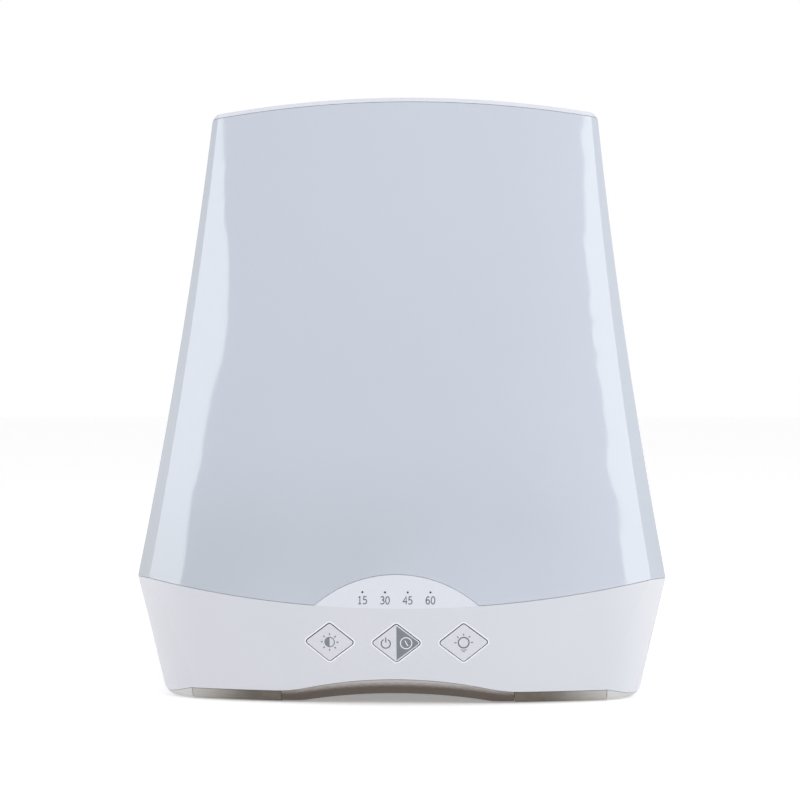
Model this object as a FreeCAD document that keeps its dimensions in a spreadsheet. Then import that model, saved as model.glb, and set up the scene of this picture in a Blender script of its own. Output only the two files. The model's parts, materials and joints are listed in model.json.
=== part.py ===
import FreeCAD, Part
import math
import os
import re

import Sketcher
from FreeCAD import Placement, Rotation, Vector

# A light therapy lamp: an opal lens over a white base with three keys.
# X runs to the right, Y to the back and Z up. The origin is on the table, in the middle of the lamp.

SIZES = [
    # Outer form
    ("overall_height", 252.0, "table to the middle of the crowned top"),
    ("overall_depth", 120.0, "front crease to rear crease, on the middle plane"),
    ("crease_width", 220.0, "widest part, at the side creases"),
    ("top_width", 164.0, "width at the full height"),
    ("top_depth", 40.0, "front to back at the full height, on the middle plane"),
    ("side_hollow", 2.3, "how far the sides bow in at half height"),
    ("crease_front_height", 39.0, "lowest point of the front crease"),
    ("crease_side_height", 49.8, "height of the side and rear creases"),
    ("lens_lean", 14.0, "degrees that the lens leans back"),
    ("front_undercut", 8.0, "degrees that the base front draws in downwards"),
    ("side_undercut", 12.4, "degrees that the base sides draw in downwards"),
    ("rear_undercut", 8.0, "degrees that the base rear draws in downwards"),
    ("lens_face_radius", 320.0, "bow of the lens face, seen from above"),
    ("rear_face_radius", 260.0, "bow of the rear face, seen from above"),
    ("facet_width_low", 6.5, "width of the lens's side facet at the crease, seen from the front"),
    ("facet_width_high", 2.6, "the same at the top"),
    ("facet_depth_low", 12.0, "depth of the side facet at the crease"),
    ("facet_depth_high", 3.0, "the same at the top"),
    ("rear_corner_low", 28.0, "rear corner radius at the crease"),
    ("rear_corner_high", 7.0, "rear corner radius at the top"),
    ("base_corner", 26.0, "corner radius of the base at the table"),
    ("blend_height", 3.7, "how far the base form runs on above the side crease"),
    ("crown_rise", 6.0, "height of the crown over the top corners"),
    ("crown_corner", 4.5, "radius of the top corners, seen from the front"),
    ("arch_rise", 3.8, "height of the arch under the base"),
    ("arch_half", 46.0, "half the span of that arch"),
    ("bottom_round", 6.0, "radius round the bottom edge"),
    # Covers
    ("wall", 2.5, "wall of the lens and the housings"),
    ("seam", 0.16, "gap at the seams between the covers"),
    ("rim_height", 1.8, "white rim over the lens's top edge"),
    ("lens_flange", 2.0, "top flange of the lens, under the rim"),
    ("lens_side_low", 7.0, "flat side wall of the lens behind the facet, at the crease"),
    ("lens_side_high", 4.0, "the same at the top"),
    ("tab_peak", 52.6, "height of the arched tab's top"),
    ("tab_half", 33.4, "half the width of the tab where it meets the crease"),
    ("skirt_height", 4.6, "lower edge of the housings over the feet"),
    ("skirt_low", 2.2, "lower edge of the housings at the corners and sides"),
    ("skirt_rise", 5.4, "how far that edge arches up between the feet"),
    ("skirt_half", 50.0, "half the span of that arch"),
    ("skirt_flat_end", 86.0, "where the edge starts down towards the corner"),
    ("skirt_drop", 10.0, "width of that slope"),
    ("arch_blend", 60.0, "radius that leads into an arch"),
    ("floor_height", 6.4, "inside of the bottom cover"),
    ("foot_proud", 0.5, "how far the feet stand out under the bottom cover"),
    ("foot_start", 47.5, "inner end of a foot, from the middle"),
    ("foot_end", 85.5, "outer end of a foot, from the middle"),
    ("foot_front_depth", 22.0, "depth of a front foot behind the front edge on the middle plane"),
    ("foot_rear_depth", 22.0, "depth of a rear foot before the rear edge"),
    # Keys
    ("key_row_height", 25.0, "height of the middle of the keys on the base front"),
    ("key_pitch", 27.2, "from key to key"),
    ("key_half_width", 10.55, "half the diamond's width, at the opening"),
    ("key_half_height", 8.25, "half the diamond's height, at the opening"),
    ("key_tip", 1.3, "radius of the diamond's tips"),
    ("key_gap", 0.35, "gap between key and opening"),
    ("key_proud", 0.3, "how far a key stands out of the base front"),
    ("key_flange", 1.2, "how far the flange reaches past the opening"),
    ("key_flange_thick", 1.2, "thickness of the flange"),
    ("key_play", 0.1, "gap between the flange and the land at rest"),
    ("land_depth", 5.6, "flat land behind the keys, from the base front"),
    ("land_half_width", 44.0, "half the width of that land"),
    ("land_half_height", 12.5, "half the height of that land"),
    ("stem_radius", 2.0, "stem between flange and plunger"),
    ("stem_length", 1.5, "length of that stem"),
    ("plunger_radius", 1.7, "plunger of a switch"),
    ("plunger_out", 1.5, "plunger above its case at rest"),
    ("plunger_in", 1.3, "plunger inside its case at rest"),
    ("plunger_play", 0.1, "radial gap round the plunger"),
    ("key_travel", 0.8, "stroke of a key"),
    ("switch_side", 6.0, "side of a switch case"),
    ("switch_height", 3.5, "height of a switch case"),
    # Control board and indicators
    ("board_thick", 1.6, "thickness of the boards"),
    ("control_half_width", 50.0, "half the width of the control board"),
    ("control_low", 13.0, "lower edge of the control board, below the keys' middle"),
    ("control_high", 12.0, "top of its wide part, above the keys' middle"),
    ("control_neck_half", 24.0, "half the width of its neck"),
    ("control_top", 26.0, "top of its neck"),
    ("control_post_side", 45.0, "side posts of the control board"),
    ("control_post_top", 15.0, "top post of the control board, above the keys' middle"),
    ("dot_height", 45.5, "height of the indicator dots"),
    ("dot_pitch", 9.2, "from dot to dot"),
    ("dot_radius", 0.38, "radius of a dot"),
    ("pipe_radius", 0.8, "thick part of a light pipe's pin"),
    ("pipe_play", 0.05, "radial gap round a pin's tip"),
    ("pipe_bar_half", 20.0, "half the length of the bar that joins the pins"),
    ("pipe_bar_side", 4.0, "height of that bar"),
    ("pipe_bar_thick", 1.5, "thickness of that bar"),
    ("pipe_bar_stand", 2.9, "gap between that bar and the board"),
    ("indicator_length", 1.6, "length of an indicator's light source"),
    ("indicator_height", 0.7, "height of an indicator's light source"),
    # Light engine, in the plane where the lens meets the rear housing
    ("panel_back", 9.6, "rear face of the light board, behind that plane"),
    ("panel_low", 8.0, "lower edge of the light board, above the side crease"),
    ("panel_high", 178.0, "upper edge of the light board"),
    ("panel_half_low", 84.0, "half the width of its lower edge"),
    ("panel_half_high", 60.0, "half the width of its upper edge"),
    ("panel_post_side", 45.0, "posts of the light board, from the middle"),
    ("panel_post_low", 28.0, "lowest pair of posts"),
    ("panel_post_pitch", 60.0, "from pair to pair"),
    ("tray_flare", 11.0, "how far the reflector tray flares out"),
    ("tray_wall", 0.8, "wall of the reflector tray"),
    ("tray_ledge", 4.0, "ledge of the tray on the light board"),
    ("tray_rim", 0.6, "rim of the tray, behind the lens plane"),
    ("sheet_thick", 1.0, "thickness of the diffusing sheet"),
    ("sheet_margin", 1.5, "how far the sheet reaches past the tray's rim"),
    ("emitter_pitch_across", 18.0, "light sources, from column to column"),
    ("emitter_pitch_up", 20.0, "light sources, from row to row"),
    ("emitter_width", 3.5, "width of a light source"),
    ("emitter_tall", 2.8, "height of a light source"),
    ("emitter_thick", 0.7, "thickness of a light source"),
    ("emitter_edge", 10.0, "least distance of a light source from the board's edge"),
    # Driver board on the bottom cover
    ("driver_height", 12.0, "underside of the driver board"),
    ("driver_half_width", 34.0, "half the width of the driver board"),
    ("driver_front", -18.0, "front edge of the driver board"),
    ("driver_rear", 45.0, "rear edge of the driver board"),
    ("driver_post_side", 29.0, "posts of the driver board, from the middle"),
    ("driver_post_front", -13.0, "front posts of the driver board"),
    ("driver_post_rear", 31.0, "rear posts of the driver board"),
    ("plug_height", 7.0, "height of the plug connectors"),
    ("wire_radius", 0.8, "wires to the light board"),
    ("wire_spacing", 2.6, "from wire to wire"),
    ("wire_side", 18.0, "middle of the two wires, from the middle of the lamp"),
    ("ribbon_width", 9.0, "width of the ribbon cable"),
    ("ribbon_thick", 1.0, "thickness of the ribbon cable"),
    ("plug_width", 8.0, "width of the light board's plugs"),
    ("plug_depth", 6.0, "depth of the plug connectors"),
    ("plug_margin", 1.5, "how far a ribbon's plug reaches past the ribbon"),
    ("light_plug_foot", 4.0, "plug on the light board, above the board's lower edge"),
    ("light_plug_tall", 5.0, "how far that plug stands out behind the board"),
    ("ribbon_plug_back", 12.0, "ribbon's plug, behind the driver board's front edge"),
    ("wire_bend_share", 0.45, "part of a wire's shorter run that its bend takes"),
    ("ribbon_bend_share", 0.7, "the same for the ribbon cable"),
    ("chip_width", 7.0, "side of a chip"),
    ("chip_thick", 1.4, "thickness of a chip"),
    ("control_chip_side", -14.5, "control chip, from the middle"),
    ("driver_chip_depth", 7.0, "driver chip, behind the origin"),
    ("coil_side", -18.0, "coil, from the middle"),
    ("coil_depth", 14.0, "coil, behind the origin"),
    ("coil_plate_radius", 7.0, "end plates of the coil"),
    ("coil_winding_radius", 5.6, "winding of the coil"),
    ("coil_plate_thick", 2.0, "thickness of an end plate"),
    ("coil_height", 10.0, "height of the coil"),
    ("capacitor_side", 4.0, "capacitor, from the middle"),
    ("capacitor_depth", 22.0, "capacitor, behind the origin"),
    ("capacitor_radius", 4.0, "radius of the capacitor"),
    ("capacitor_height", 13.0, "height of the capacitor"),
    # Power inlet
    ("inlet_side", 26.0, "inlet, from the middle"),
    ("inlet_width", 9.0, "width of the inlet's body"),
    ("inlet_tall", 11.0, "height of the inlet's body"),
    ("inlet_length", 14.0, "length of the inlet's body"),
    ("inlet_axis_height", 6.5, "axis of the inlet above its board"),
    ("inlet_pad", 5.0, "flat pad inside the rear wall, from the rear face on the middle plane"),
    ("inlet_bore", 2.85, "bore of the inlet"),
    ("inlet_nozzle", 3.4, "nozzle that reaches through the wall"),
    ("inlet_nozzle_play", 0.1, "radial gap round the nozzle"),
    ("inlet_recess", 6.5, "round recess for a plug's grip"),
    ("inlet_skin", 1.5, "wall left under that recess"),
    ("inlet_pin", 1.0, "radius of the centre pin"),
    ("inlet_depth", 9.5, "depth of the inlet's bore"),
    ("inlet_pin_short", 0.6, "how far the pin stops short of the mouth"),
    # Screws and posts
    ("post_radius", 4.0, "posts of the covers"),
    ("small_post_radius", 3.0, "posts under the boards"),
    ("pilot_radius", 1.3, "pilot holes"),
    ("thread_play", 0.05, "radial gap round a screw in its pilot"),
    ("clearance_radius", 1.7, "clearance holes"),
    ("head_radius", 2.7, "screw heads"),
    ("head_height", 1.9, "height of the screw heads"),
    ("head_rim", 0.85, "straight rim of the screw heads"),
    ("head_bow", 2.1, "rounding of the screw heads above that rim"),
    ("head_top", 1.5, "radius of the flat on the screw heads"),
    ("tip_radius", 0.6, "radius of a screw's flat tip"),
    ("head_well", 3.3, "radius of the wells over the screw heads"),
    ("well_wall", 1.5, "wall round those wells"),
    ("screw_length", 9.0, "length of the long screws under the head"),
    ("board_screw_length", 6.0, "length of the board screws under the head"),
    ("pilot_spare", 1.5, "pilot depth beyond the screw's end"),
    ("seat_thick", 3.0, "wall that a long screw clamps"),
    ("housing_screw_side_low", 84.0, "lower housing screws, from the middle"),
    ("housing_screw_side_high", 89.0, "upper housing screws, from the middle"),
    ("housing_screw_low", 20.0, "height of the lower housing screws"),
    ("housing_screw_high", 40.0, "height of the upper housing screws"),
    ("cover_screw_side", 41.0, "cover screws, from the middle"),
    ("cover_screw_front", -34.0, "front cover screws"),
    ("cover_screw_rear", 42.0, "rear cover screws"),
    ("cover_post_height", 14.0, "height of the cover posts"),
    ("rib_thick", 2.0, "ribs that carry the cover posts"),
    ("rib_height", 5.0, "height of those ribs"),
    # Vents
    ("vent_count", 9, "slots in a row"),
    ("vent_pitch", 8.0, "from slot to slot"),
    ("vent_width", 2.4, "width of a slot"),
    ("vent_length", 22.0, "length of a slot"),
    ("vent_low", 76.0, "middle of the lower row"),
    ("vent_high", 214.0, "middle of the upper row"),
    ("cover_vent_length", 16.0, "length of a slot in the bottom cover"),
    ("cover_vent_middle", -26.0, "middle of those slots"),
    ("cover_vent_pitch", 6.4, "from slot to slot there"),
]

# Document and size sheet
doc = FreeCAD.newDocument("light_therapy_lamp")
sheet = doc.addObject("Spreadsheet::Sheet", "sizes")
for row, (alias, number, note) in enumerate(SIZES, start=1):
    sheet.set(f"A{row}", note)
    sheet.set(f"B{row}", str(number))
    sheet.setAlias(f"B{row}", alias)
reader = doc.addObject("App::FeaturePython", "reader")
doc.recompute()
NAMES = {alias for alias, number, note in SIZES}


def sized(formula):
    """The formula with each size name pointed at its cell."""
    return re.sub(r"[a-z_]+", lambda word: f"sizes.{word[0]}" if word[0] in NAMES else word[0], formula)


def value(formula):
    """The number that a formula gives now."""
    return float(reader.evalExpression(sized(formula)))


def bind(item, path, formula):
    """Tie one property of an object to a formula on the sheet."""
    item.setExpression(path, sized(formula))


# Sketches and features
def origin_plane(body, role):
    return next(f for f in body.Origin.OriginFeatures if f.Role == role)


def outline(body, name, role, level, corners):
    """A closed sketch on one of the body's own planes, moved along the plane's normal by level.

    Each corner is (x, y, radius, turn): its place, and how the edge to the next corner runs. A radius of
    None gives a straight edge. Otherwise turn is 1 for an arc whose centre lies left of the way, or -1.
    """
    sketch = body.newObject("Sketcher::SketchObject", name)
    sketch.AttachmentSupport = [(origin_plane(body, role), "")]
    sketch.MapMode = "FlatFace"
    bind(sketch, "AttachmentOffset.Base.z", level)
    places = [Vector(value(x), value(y), 0) for x, y, radius, turn in corners]
    starts = []
    for i, (x, y, radius, turn) in enumerate(corners):
        here, there = places[i], places[(i + 1) % len(places)]
        if radius is None:
            sketch.addGeometry(Part.LineSegment(here, there), False)
        else:
            bend = value(radius)
            half = (there - here) * 0.5
            side = Vector(-half.y, half.x, 0).normalize() * turn
            centre = here + half + side * math.sqrt(bend**2 - half.Length**2)
            sketch.addGeometry(Part.Arc(here, centre - side * bend, there), False)
        starts.append(1 if sketch.getPoint(i, 1).distanceToPoint(here) < 1e-6 else 2)
    for i, (x, y, radius, turn) in enumerate(corners):
        j = (i + 1) % len(corners)
        sketch.addConstraint(Sketcher.Constraint("Coincident", i, 3 - starts[i], j, starts[j]))
        for kind, formula, number in (("DistanceX", x, places[i].x), ("DistanceY", y, places[i].y)):
            k = sketch.addConstraint(Sketcher.Constraint(kind, i, starts[i], number))
            bind(sketch, f"Constraints[{k}]", formula)
        if radius is not None:
            k = sketch.addConstraint(Sketcher.Constraint("Radius", i, value(radius)))
            bind(sketch, f"Constraints[{k}]", radius)
    return sketch


# Lines of the outer form, as formulas in the height
def rise_share(level):
    return f"((({level}) - crease_side_height) / (overall_height - crease_side_height))"


def between(low, high, level):
    return f"({low} + ({high} - {low}) * {rise_share(level)})"


def upper_front(level):
    return f"(-overall_depth/2 + (({level}) - crease_front_height) * tan(lens_lean))"


def upper_rear(level):
    return between("overall_depth/2", f"({upper_front('overall_height')} + top_depth)", level)


def upper_half_width(level):
    share = rise_share(level)
    return f"({between('crease_width/2', 'top_width/2', level)} - 4*side_hollow*{share}*(1 - {share}))"


def facet_edge(level):
    return f"({upper_half_width(level)} - {between('facet_width_low', 'facet_width_high', level)})"


def bowed(front, radius, x):
    """How far back a convex front of this radius lies at x."""
    return f"({front} + {radius} - sqrt(({radius})^2 - ({x})^2))"


def facet_back(level):
    face = bowed(upper_front(level), "lens_face_radius", facet_edge(level))
    return f"({face} + {between('facet_depth_low', 'facet_depth_high', level)})"


def base_front(level):
    return f"(-overall_depth/2 + (crease_front_height - ({level})) * tan(front_undercut))"


def base_rear(level):
    return f"(overall_depth/2 - (crease_side_height - ({level})) * tan(rear_undercut))"


def base_half_width(level):
    return f"(crease_width/2 - (crease_side_height - ({level})) * tan(side_undercut))"


def base_face_radius():
    """The bow that brings the front crease up to the side crease at the facet's edge."""
    edge = facet_edge("crease_side_height")
    face = bowed(upper_front("crease_side_height"), "lens_face_radius", edge)
    sag = f"({face} - {base_front('crease_side_height')})"
    return f"((({edge})^2 + {sag}^2) / (2*{sag}))"


def planform(front, front_radius, edge, back, half, rear, corner, inset, front_corner=None):
    """The corners of a lamp's outline seen from above, drawn inset by a wall.

    front and rear are the ends on the middle plane. The front bows to its edge, where a straight facet runs
    back to the side, or a round front corner does. The rear corners are round.
    """
    front_centre = f"({front} + {front_radius})"
    bow = f"({front_radius} - {inset})"
    side = f"({half} - {inset})"
    if front_corner is None:
        front_x = f"({edge} - {inset})"
        front_y = f"({front_centre} - sqrt({bow}^2 - {front_x}^2))"
        side_y = back
        front_bend, front_turn = None, 0
    else:
        across = f"({half} - {front_corner})"
        reach = f"sqrt(({front_radius} - {front_corner})^2 - {across}^2)"
        ratio = f"({bow} / ({front_radius} - {front_corner}))"
        front_x = f"({across} * {ratio})"
        front_y = f"({front_centre} - {reach} * {ratio})"
        side_y = f"({front_centre} - {reach})"
        front_bend, front_turn = f"({front_corner} - {inset})", 1
    rear_centre = f"({rear} - rear_face_radius)"
    across = f"({half} - {corner})"
    reach = f"sqrt((rear_face_radius - {corner})^2 - {across}^2)"
    ratio = f"((rear_face_radius - {inset}) / (rear_face_radius - {corner}))"
    rear_x, rear_y = f"({across} * {ratio})", f"({rear_centre} + {reach} * {ratio})"
    rear_side_y = f"({rear_centre} + {reach})"
    rear_bend = f"({corner} - {inset})"
    return [
        (f"-{front_x}", front_y, bow, 1),
        (front_x, front_y, front_bend, front_turn),
        (side, side_y, None, 0),
        (side, rear_side_y, rear_bend, 1),
        (rear_x, rear_y, f"(rear_face_radius - {inset})", 1),
        (f"-{rear_x}", rear_y, rear_bend, 1),
        (f"-{side}", rear_side_y, None, 0),
        (f"-{side}", side_y, front_bend, front_turn),
    ]


def loft(body, name, sections, ruled):
    feature = body.newObject("PartDesign::AdditiveLoft", name)
    feature.Profile = sections[0]
    feature.Sections = sections[1:]
    feature.Ruled = ruled
    body.Tip = feature
    return feature


def upper_form(name, inset):
    """The leaning form that the lens and the rear housing are cut from."""
    body = doc.addObject("PartDesign::Body", name)
    sections = []
    for i, level in enumerate(("0", "overall_height/2", "(overall_height + crown_rise)")):
        corners = planform(
            upper_front(level), "lens_face_radius", facet_edge(level), facet_back(level),
            upper_half_width(level), upper_rear(level), between("rear_corner_low", "rear_corner_high", level),
            inset,
        )
        sections.append(outline(body, f"{name}_section_{i}", "XY_Plane", level, corners))
    loft(body, f"{name}_loft", sections, False)
    return body


def base_form(name, inset):
    """The form of the base, which draws in towards the table."""
    body = doc.addObject("PartDesign::Body", name)
    crease = "crease_side_height"
    top = f"({crease} + blend_height)"
    wider = "blend_height * tan(side_undercut)"
    low = planform(
        base_front("0"), base_face_radius(), "0", "0", base_half_width("0"), base_rear("0"),
        "base_corner", inset, front_corner="base_corner",
    )
    high = planform(
        base_front(top), base_face_radius(), f"({facet_edge(crease)} + {wider})", facet_back(crease),
        base_half_width(top), base_rear(top), "rear_corner_low", inset,
    )
    sections = [
        outline(body, f"{name}_low", "XY_Plane", "0", low),
        outline(body, f"{name}_high", "XY_Plane", top, high),
    ]
    loft(body, f"{name}_loft", sections, True)
    return body


# Forms that the covers are cut from
def world_block(name, x, y, z):
    return block(name, Placement(), x, y, z)


def block(name, frame, x, y, z):
    """A box in a frame. x, y and z are each a pair of formulas, low and high."""
    box = doc.addObject("Part::Box", name)
    for side, (low, high) in (("Length", x), ("Width", y), ("Height", z)):
        bind(box, side, f"({high}) - ({low})")
    box.Placement = frame * Placement(Vector(value(x[0]), value(y[0]), value(z[0])), Rotation())
    return box


def rod(name, frame, x, y, z, radius):
    """A cylinder along a frame's Z. z is a pair of formulas, low and high."""
    cylinder = doc.addObject("Part::Cylinder", name)
    bind(cylinder, "Radius", radius)
    bind(cylinder, "Height", f"({z[1]}) - ({z[0]})")
    cylinder.Placement = frame * Placement(Vector(value(x), value(y), value(z[0])), Rotation())
    return cylinder


def rear_rod(name, x, height, y, radius):
    """A cylinder along Y, at a height. y is a pair of formulas, front and rear end."""
    return rod(name, REARWARD, x, f"-({height})", y, radius)


def common(name, first, second):
    item = doc.addObject("Part::Common", name)
    item.Base, item.Tool = first, second
    return item


def fuse(name, *items):
    item = doc.addObject("Part::MultiFuse", name)
    item.Shapes = list(items)
    return item


def cut(name, item, *tools):
    result = doc.addObject("Part::Cut", name)
    result.Base = item
    result.Tool = tools[0] if len(tools) == 1 else fuse(f"{name}_tools", *tools)
    return result


def prism(name, corners):
    """An outline in the front view, drawn right through the lamp."""
    body = doc.addObject("PartDesign::Body", name)
    sketch = outline(body, f"{name}_outline", "XZ_Plane", "0", corners)
    pad = body.newObject("PartDesign::Pad", f"{name}_pad")
    pad.Profile = sketch
    pad.Midplane = True
    bind(pad, "Length", "overall_depth * 3")
    body.Tip = pad
    return body


def plate(name, frame, corners, low, high):
    """An outline in a frame's XY plane, between two levels of that frame."""
    body = doc.addObject("PartDesign::Body", name)
    sketch = outline(body, f"{name}_outline", "XY_Plane", low, corners)
    pad = body.newObject("PartDesign::Pad", f"{name}_pad")
    pad.Profile = sketch
    bind(pad, "Length", f"({high}) - ({low})")
    body.Tip = pad
    body.Placement = frame
    return body


REARWARD = Placement(Vector(), Rotation(Vector(1, 0, 0), -90))
FAR = "(crease_width)"


def crown_radius():
    return "(((top_width/2)^2 + crown_rise^2) / (2*crown_rise))"


def crown_outline(drop, inset):
    """The lamp's front view under its crowned top, lowered by drop and drawn in at the top corners."""
    centre = f"(overall_height - {crown_radius()})"
    bow = f"({crown_radius()} - {drop})"
    shoulder = "(overall_height - crown_rise - crown_corner)"
    side = f"({upper_half_width(shoulder)} + seam/3 - {inset})"
    across = f"({side} - crown_corner)"
    reach = f"sqrt(({bow} - crown_corner)^2 - {across}^2)"
    ratio = f"({bow} / ({bow} - crown_corner))"
    corner_height = f"({centre} + {reach})"
    top_x, top_y = f"({across}*{ratio})", f"({centre} + {reach}*{ratio})"
    return [
        (f"-{FAR}", "-crown_rise", None, 0),
        (FAR, "-crown_rise", None, 0),
        (FAR, corner_height, None, 0),
        (side, corner_height, "crown_corner", 1),
        (top_x, top_y, bow, 1),
        (f"-{top_x}", top_y, "crown_corner", 1),
        (f"-{side}", corner_height, None, 0),
        (f"-{FAR}", corner_height, None, 0),
    ]


def rim_line(drop):
    """The top edge of the lens, from right to left: the crown, lowered by drop."""
    reach = f"({FAR}/2 + wall)"
    bow = f"({crown_radius()} - {drop})"
    height = f"(overall_height - {crown_radius()} + sqrt({bow}^2 - {reach}^2))"
    return [(reach, height, bow, 1), (f"-{reach}", height, None, 0)]


def arch_line(foot, rise, half, shift):
    """An arch over a foot level, from left to right, led in by a blend at each end."""
    total = f"((({half})^2 + ({rise})^2) / (2*({rise})))"
    blend_x = f"(({half}) * ({total} - arch_blend) / {total})"
    blend_y = f"({foot} + {shift} + arch_blend * ({rise}) / {total})"
    base_y = f"({foot} + {shift})"
    return [
        (f"-({half})", base_y, "arch_blend", 1),
        (f"-{blend_x}", blend_y, f"({total} - arch_blend)", -1),
        (blend_x, blend_y, "arch_blend", 1),
        (f"({half})", base_y, None, 0),
    ]


def skirt_line(shift):
    """The lower edge of the housings, from left to right."""
    low, end = f"(skirt_low + {shift})", "(skirt_flat_end + skirt_drop)"
    level = f"(skirt_height + {shift})"
    return (
        [(f"-{FAR}", low, None, 0), (f"-{end}", low, None, 0), ("-skirt_flat_end", level, None, 0)]
        + arch_line("skirt_height", "skirt_rise", "skirt_half", shift)
        + [("skirt_flat_end", level, None, 0), (end, low, None, 0), (FAR, low, None, 0)]
    )


def parting_line(shift):
    """The seam between lens and base, from left to right: flat, crease, tab, crease, flat."""
    edge = facet_edge("crease_side_height")
    sag = "(crease_side_height - crease_front_height)"
    bow = f"((({edge})^2 + {sag}^2) / (2*{sag}))"
    tab_foot = f"(crease_front_height + {bow} - sqrt({bow}^2 - tab_half^2))"
    tab_sag = f"(tab_peak - {tab_foot})"
    tab_bow = f"((tab_half^2 + {tab_sag}^2) / (2*{tab_sag}))"
    side, foot = f"(crease_side_height + {shift})", f"({tab_foot} + {shift})"
    return [
        (f"-{FAR}", side, None, 0),
        (f"-{edge}", side, bow, 1),
        ("-tab_half", foot, tab_bow, -1),
        ("tab_half", foot, bow, 1),
        (edge, side, None, 0),
        (FAR, side, None, 0),
    ]


def backwards(line):
    """The same line walked from right to left."""
    turned = []
    for i in range(len(line) - 1, -1, -1):
        x, y, radius, turn = line[i]
        before = line[i - 1] if i else (None, None, None, 0)
        turned.append((x, y, before[2], -before[3]))
    return turned


def form(name, inset, drop):
    """The lamp's whole outer form, or the space inside it, drawn inset by a wall and lowered by drop."""
    upper = upper_form(f"{name}_upper", inset)
    base = base_form(f"{name}_base", inset)
    if inset == "0":
        round_bottom(base)
    top = "(crease_side_height + blend_height)"
    above = world_block(
        f"{name}_above", (f"-{FAR}", FAR), (f"-{FAR}", FAR), (top, "overall_height + crown_rise*2"),
    )
    low_and_high = fuse(f"{name}_low_and_high", base, above)
    sides = common(f"{name}_sides", upper, low_and_high)
    return common(name, sides, prism(f"{name}_crown", crown_outline(drop, inset)))


def round_bottom(body):
    """Cut the arch under the base and round the edge that runs right round the bottom."""
    arch = [("-arch_half", "-arch_rise", None, 0), ("arch_half", "-arch_rise", None, 0)]
    arch += backwards(arch_line("0", "arch_rise", "arch_half", "0"))
    sketch = outline(body, "arch_outline", "XZ_Plane", "0", arch)
    pocket = body.newObject("PartDesign::Pocket", "arch_pocket")
    pocket.Profile = sketch
    pocket.Midplane = True
    pocket.Type = "ThroughAll"
    body.Tip = pocket
    doc.recompute()
    limit = value("arch_rise") * 1.01
    edges = [
        f"Edge{i}"
        for i, edge in enumerate(pocket.Shape.Edges, start=1)
        if edge.BoundBox.ZMax < limit and not (edge.BoundBox.XLength < 1e-3 and edge.Length > value("arch_half"))
    ]
    rounding = body.newObject("PartDesign::Fillet", "bottom_rounding")
    rounding.Base = (pocket, edges)
    bind(rounding, "Radius", "bottom_round")
    body.Tip = rounding


outer = form("outer", "0", "0")
cavity = form("cavity", "wall", "(rim_height + lens_flange)")
doc.recompute()

# Frames: the plane where lens and rear housing meet, and the face of the base at the keys
LENS_PLANE_LOW = f"({facet_back('crease_side_height')} + lens_side_low)"
LENS_PLANE_HIGH = f"({facet_back('overall_height')} + lens_side_high)"
PANEL_LEAN = f"atan(({LENS_PLANE_HIGH} - {LENS_PLANE_LOW}) / (overall_height - crease_side_height))"
PANEL = Placement(
    Vector(0, value(LENS_PLANE_LOW), value("crease_side_height")),
    Rotation(Vector(1, 0, 0), 90 - value(PANEL_LEAN)),
)
FACE = Placement(
    Vector(0, value(base_front("key_row_height")), value("key_row_height")),
    Rotation(Vector(1, 0, 0), 90 + value("front_undercut")),
)
DEEP = "(overall_depth * 2)"
nodes = []


def node(name, item):
    """Keep an object as one of the lamp's pieces, under its own name."""
    item.Label = name
    nodes.append(item)
    return item


def group(name, shapes):
    """Several equal pieces that share one name."""
    item = doc.addObject("Part::Feature", name)
    item.Shape = Part.makeCompound(shapes)
    return node(name, item)


def bundle(name, items):
    """Several equal objects kept as one piece."""
    item = doc.addObject("Part::Compound", name)
    item.Links = items
    return node(name, item)


def copies(item, places):
    """The shape of an object, set down at each place."""
    return [item.Shape.transformed(place.toMatrix(), copy=True) for place in places]


def screw_master(name, length):
    """A pan-head screw: its seat is at the origin, its head above and its shank below."""
    body = doc.addObject("PartDesign::Body", name)
    shank = "(pilot_radius - thread_play)"
    corners = [
        ("0", f"-{length}", None, 0),
        ("tip_radius", f"-{length}", None, 0),
        (shank, f"-{length} + {shank}", None, 0),
        (shank, "0", None, 0),
        ("head_radius", "0", None, 0),
        ("head_radius", "head_rim", "head_bow", 1),
        ("head_top", "head_height", None, 0),
        ("0", "head_height", None, 0),
    ]
    sketch = outline(body, f"{name}_profile", "XZ_Plane", "0", corners)
    turned = body.newObject("PartDesign::Revolution", f"{name}_turned")
    turned.Profile = sketch
    turned.ReferenceAxis = (sketch, ["V_Axis"])
    turned.Angle = 360
    body.Tip = turned
    return body


# Posts, ribs and the land behind the keys, which stand inside the covers
front_posts = []
for side, sign in (("left", "-"), ("right", "")):
    for row in ("low", "high"):
        x, height = f"{sign}housing_screw_side_{row}", f"housing_screw_{row}"
        front_posts.append(rear_rod(f"front_post_{side}_{row}", x, height, (f"-{DEEP}", "0"), "post_radius"))
    x = f"{sign}cover_screw_side"
    top = "floor_height + cover_post_height"
    front_posts.append(rod(
        f"cover_post_front_{side}", Placement(), x, "cover_screw_front", ("floor_height + seam", top), "post_radius",
    ))
    front_posts.append(world_block(
        f"cover_rib_front_{side}", (f"{x} - rib_thick/2", f"{x} + rib_thick/2"), (f"-{DEEP}", "cover_screw_front"),
        ("floor_height + seam", "floor_height + rib_height"),
    ))
    front_posts.append(rod(
        f"control_post_{side}", FACE, f"{sign}control_post_side", "0",
        (f"-land_depth - key_play - key_flange_thick - stem_length - plunger_out - switch_height", DEEP),
        "small_post_radius",
    ))
CASE_TOP = "(-land_depth - key_play - key_flange_thick - stem_length - plunger_out)"
BOARD_FRONT = f"({CASE_TOP} - switch_height)"
BOARD_BACK = f"({BOARD_FRONT} - board_thick)"
FLANGE_BACK = "(-land_depth - key_play - key_flange_thick)"
front_posts.append(rod(
    "control_post_middle", FACE, "0", "control_post_top", (BOARD_FRONT, DEEP), "small_post_radius",
))
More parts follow.
